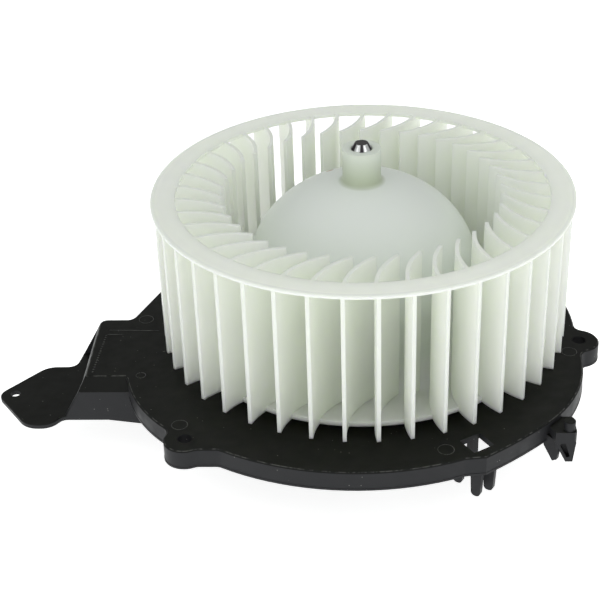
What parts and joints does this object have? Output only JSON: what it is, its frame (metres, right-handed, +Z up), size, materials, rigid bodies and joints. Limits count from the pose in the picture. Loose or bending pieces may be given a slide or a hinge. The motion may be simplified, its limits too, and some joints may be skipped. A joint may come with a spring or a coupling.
{
  "type": "heater blower motor and fan wheel",
  "caption": "Drum fan wheel with a domed hub on a flange-mounted motor with a cooling-air scoop, for a heater or air-conditioning case.",
  "frame": {"origin": "on the shaft's axis, at the flange's top (mounting) face", "axes": "+Z up the shaft towards the fan wheel's open side; -X towards the cooling-air scoop"},
  "size_m": [0.2441, 0.1951, 0.1227],
  "materials": {
    "wheel_plastic": "satin, slightly milky",
    "black_plastic": "fine moulded texture",
    "polished_steel": "turned and polished",
    "core_steel": "stamped laminations",
    "enamelled_copper": "varnished wire",
    "copper": "turned",
    "brown_phenolic": "moulded",
    "nylon": "smooth",
    "plated_steel": "zinc plated",
    "ferrite": "ground",
    "spring_steel": "blued",
    "sintered_bronze": "porous, oiled",
    "brass": "folded sheet",
    "carbon": "pressed",
    "capacitor_case": "moulded",
    "rubber": "matt",
    "screw_steel": "zinc plated",
    "connector_plastic": "smooth",
    "tinned_brass": "tinned"
  },
  "bodies": {
    "motor_housing": {"motor_can": "plated_steel", "magnet_left": "ferrite", "magnet_right": "ferrite", "magnet_clips": "spring_steel", "upper_bearing": "sintered_bronze", "lower_bearing": "sintered_bronze", "upper_bearing_clip": "spring_steel", "lower_bearing_clip": "spring_steel", "end_plate": "plated_steel", "brush_card": "brown_phenolic", "brush_holder_left": "brass", "brush_holder_right": "brass", "brush_spring_left": "spring_steel", "brush_spring_right": "spring_steel", "choke_left": "enamelled_copper", "choke_right": "enamelled_copper", "capacitor": "capacitor_case", "mounting_flange": "black_plastic", "isolator_upper": "rubber", "isolator_lower": "rubber", "motor_cover": "black_plastic", "cover_screws": "screw_steel", "power_connector": "connector_plastic", "power_terminals": "tinned_brass"},
    "rotor": {"fan_wheel": "wheel_plastic", "shaft": "polished_steel", "armature_core": "core_steel", "winding_upper": "enamelled_copper", "winding_lower": "enamelled_copper", "slot_windings": "enamelled_copper", "commutator_hub": "brown_phenolic", "commutator_bars": "copper", "thrust_washers": "nylon"},
    "left_brush": {"brush_left": "carbon"},
    "right_brush": {"brush_right": "carbon"}
  },
  "joints": [
    {"name": "rotor_spin", "type": "hinge", "parent": "motor_housing", "child": "rotor", "pos_m": [0, 0, 0], "axis": [0, 0, 1], "continuous": true},
    {"name": "right_brush_slide", "type": "slide", "parent": "motor_housing", "child": "right_brush", "axis": [1, 0, 0], "range_m": [0, 0.003], "stiffness_N_per_m": 150, "springref_m": -0.004, "deforming": ["brush_spring_right"]},
    {"name": "left_brush_slide", "type": "slide", "parent": "motor_housing", "child": "left_brush", "axis": [-1, 0, 0], "range_m": [0, 0.003], "stiffness_N_per_m": 150, "springref_m": -0.004, "deforming": ["brush_spring_left"]}
  ]
}
